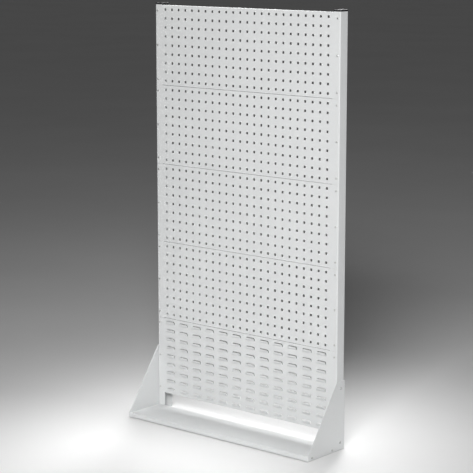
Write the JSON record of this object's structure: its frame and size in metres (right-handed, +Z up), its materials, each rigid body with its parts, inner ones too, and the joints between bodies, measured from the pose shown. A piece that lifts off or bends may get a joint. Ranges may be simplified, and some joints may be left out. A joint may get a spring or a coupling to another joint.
{
  "type": "pegboard tool wall",
  "caption": "Free-standing single-sided steel tool rack: square-hole perforated panels above a louvred bin panel, on capped channel posts with triangular end plates and a base tray.",
  "frame": {"origin": "on the floor at the centre of the overall box's footprint", "axes": "+Z up; +X to the right for someone facing the panels; the panels face -Y and the rack's back is +Y"},
  "size_m": [1.0022, 0.244, 1.8028],
  "materials": {
    "panel_paint": "fine-textured satin powder coat, light grey",
    "frame_paint": "fine-textured satin powder coat, light grey",
    "cap_plastic": "moulded black plastic with a fine grain",
    "screw_zinc": "bright zinc plate"
  },
  "bodies": {
    "root": {"louvre_panel": "panel_paint", "base_tray": "frame_paint", "perforated_panel_1": "panel_paint", "perforated_panel_2": "panel_paint", "perforated_panel_3": "panel_paint", "perforated_panel_4": "panel_paint", "left_post": "frame_paint", "left_end_plate": "frame_paint", "left_post_cap": "cap_plastic", "right_post": "frame_paint", "right_end_plate": "frame_paint", "right_post_cap": "cap_plastic", "louvre_panel_screw_left_1": "screw_zinc", "louvre_panel_screw_left_2": "screw_zinc", "louvre_panel_screw_left_3": "screw_zinc", "louvre_panel_screw_right_1": "screw_zinc", "louvre_panel_screw_right_2": "screw_zinc", "louvre_panel_screw_right_3": "screw_zinc", "perforated_panel_4_screw_left_1": "screw_zinc", "perforated_panel_4_screw_left_2": "screw_zinc", "perforated_panel_4_screw_left_3": "screw_zinc", "perforated_panel_4_screw_right_1": "screw_zinc", "perforated_panel_4_screw_right_2": "screw_zinc", "perforated_panel_4_screw_right_3": "screw_zinc", "perforated_panel_3_screw_left_1": "screw_zinc", "perforated_panel_3_screw_left_2": "screw_zinc", "perforated_panel_3_screw_left_3": "screw_zinc", "perforated_panel_3_screw_right_1": "screw_zinc", "perforated_panel_3_screw_right_2": "screw_zinc", "perforated_panel_3_screw_right_3": "screw_zinc", "perforated_panel_2_screw_left_1": "screw_zinc", "perforated_panel_2_screw_left_2": "screw_zinc", "perforated_panel_2_screw_left_3": "screw_zinc", "perforated_panel_2_screw_right_1": "screw_zinc", "perforated_panel_2_screw_right_2": "screw_zinc", "perforated_panel_2_screw_right_3": "screw_zinc", "perforated_panel_1_screw_left_1": "screw_zinc", "perforated_panel_1_screw_left_2": "screw_zinc", "perforated_panel_1_screw_left_3": "screw_zinc", "perforated_panel_1_screw_right_1": "screw_zinc", "perforated_panel_1_screw_right_2": "screw_zinc", "perforated_panel_1_screw_right_3": "screw_zinc", "left_post_bolt_1": "screw_zinc", "left_post_nut_1": "screw_zinc", "left_tray_screw_1": "screw_zinc", "left_post_bolt_2": "screw_zinc", "left_post_nut_2": "screw_zinc", "left_tray_screw_2": "screw_zinc", "right_post_bolt_1": "screw_zinc", "right_post_nut_1": "screw_zinc", "right_tray_screw_1": "screw_zinc", "right_post_bolt_2": "screw_zinc", "right_post_nut_2": "screw_zinc", "right_tray_screw_2": "screw_zinc"}
  },
  "joints": []
}
